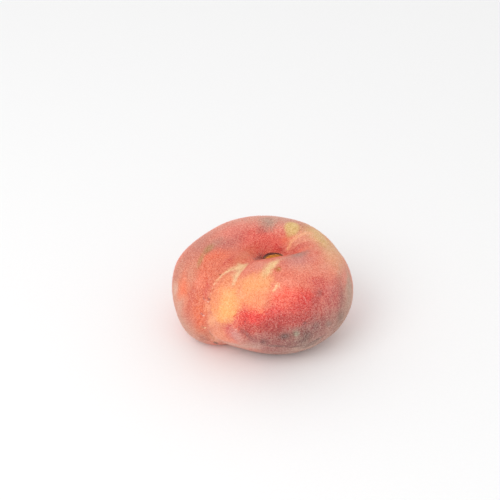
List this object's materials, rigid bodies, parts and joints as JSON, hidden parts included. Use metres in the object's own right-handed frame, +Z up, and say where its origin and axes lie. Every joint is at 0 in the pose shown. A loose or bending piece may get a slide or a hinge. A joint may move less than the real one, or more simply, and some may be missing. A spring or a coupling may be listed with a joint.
{
  "type": "flat peach",
  "caption": "Flat, doughnut-shaped peach with a deep stem pit, a furrowed side and a hollow blossom end, resting on its underside.",
  "frame": {"origin": "centre of the footprint's box, on the surface that the peach rests on", "axes": "+Z up out of the stem pit, +X along the fruit's widest way, to the side where the shoulder furrow opens, +Y away from the viewer of the picture"},
  "size_m": [0.0742, 0.0652, 0.0417],
  "materials": {
    "skin": "thin skin under short velvety down, matte, red blush over orange-yellow"
  },
  "bodies": {
    "root": {"peach": "skin"}
  },
  "joints": []
}
